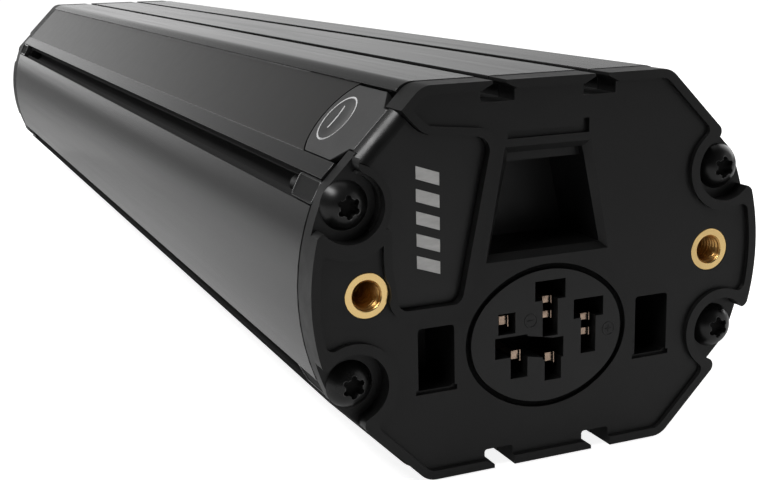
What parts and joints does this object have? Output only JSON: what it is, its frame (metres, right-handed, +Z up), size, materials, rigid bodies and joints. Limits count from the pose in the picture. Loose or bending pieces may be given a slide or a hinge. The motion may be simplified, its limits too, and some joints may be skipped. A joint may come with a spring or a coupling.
{
  "type": "e-bike downtube battery",
  "caption": "Long eight-sided battery tube with moulded end caps, side grooves, slots, a front connector, a display panel and a round-ended power button.",
  "frame": {"origin": "middle of the base", "axes": "X across the width, Y along the length with the connector end at -Y, Z up"},
  "size_m": [0.084, 0.354, 0.065],
  "materials": {
    "anodised_tube": "dark satin anodised",
    "cap_plastic": "fine matte grain",
    "seal_rubber": "matte",
    "screw_black": "glossy black",
    "brass": "machined",
    "plug_plastic": "glossy black",
    "label_film": "matte film",
    "panel_plastic": "satin",
    "light_diffuser": "translucent grey",
    "button_plastic": "soft satin",
    "circuit_board": "solder mask",
    "led_epoxy": "clear",
    "ribbon_cable": "polyimide",
    "white_nylon": "moulded",
    "connector_plastic": "satin",
    "contact_copper": "plated copper",
    "chip_epoxy": "moulded epoxy",
    "capacitor_sleeve": "shrink sleeve",
    "fuse_plastic": "moulded",
    "plated_steel": "nickel plated",
    "cell_sleeve": "shrink sleeve on steel cans",
    "paper_board": "fish paper",
    "foam": "closed cell",
    "red_insulation": "silicone",
    "black_insulation": "silicone",
    "violet_insulation": "silicone"
  },
  "bodies": {
    "pack": {"housing_tube": "anodised_tube", "front_cap": "cap_plastic", "rear_cap": "cap_plastic", "front_seal": "seal_rubber", "rear_seal": "seal_rubber", "front_screws": "screw_black", "rear_screws": "screw_black", "front_inserts": "brass", "rear_inserts": "brass", "front_groove_plugs": "plug_plastic", "rear_groove_plugs": "plug_plastic", "label_strip": "label_film", "display_panel": "panel_plastic", "light_bars": "light_diffuser", "display_board": "circuit_board", "display_leds": "led_epoxy", "display_cable": "ribbon_cable", "switch_body": "chip_epoxy", "switch_board": "circuit_board", "connector_body": "connector_plastic", "connector_seal": "seal_rubber", "power_contacts": "contact_copper", "signal_contacts": "contact_copper", "control_board": "circuit_board", "board_posts": "white_nylon", "board_screws": "plated_steel", "power_transistors": "chip_epoxy", "board_capacitors": "capacitor_sleeve", "main_fuse": "fuse_plastic", "processor_chips": "chip_epoxy", "sense_socket": "white_nylon", "cells_1": "cell_sleeve", "front_tray_1": "white_nylon", "rear_tray_1": "white_nylon", "cell_links_1": "plated_steel", "cells_2": "cell_sleeve", "front_tray_2": "white_nylon", "rear_tray_2": "white_nylon", "cell_links_2": "plated_steel", "cells_3": "cell_sleeve", "front_tray_3": "white_nylon", "rear_tray_3": "white_nylon", "cell_links_3": "plated_steel", "cells_4": "cell_sleeve", "front_tray_4": "white_nylon", "rear_tray_4": "white_nylon", "cell_links_4": "plated_steel", "module_sheets": "paper_board", "rear_foam": "foam", "positive_lead": "red_insulation", "negative_lead": "black_insulation", "sense_harness": "violet_insulation", "thermistors": "chip_epoxy"},
    "button": {"power_button": "button_plastic", "switch_plunger": "white_nylon"}
  },
  "joints": [
    {"name": "button_press", "type": "slide", "parent": "pack", "child": "button", "axis": [0.7071, 0, -0.7071], "range_m": [0, 0.0005], "stiffness_N_per_m": 1500}
  ]
}
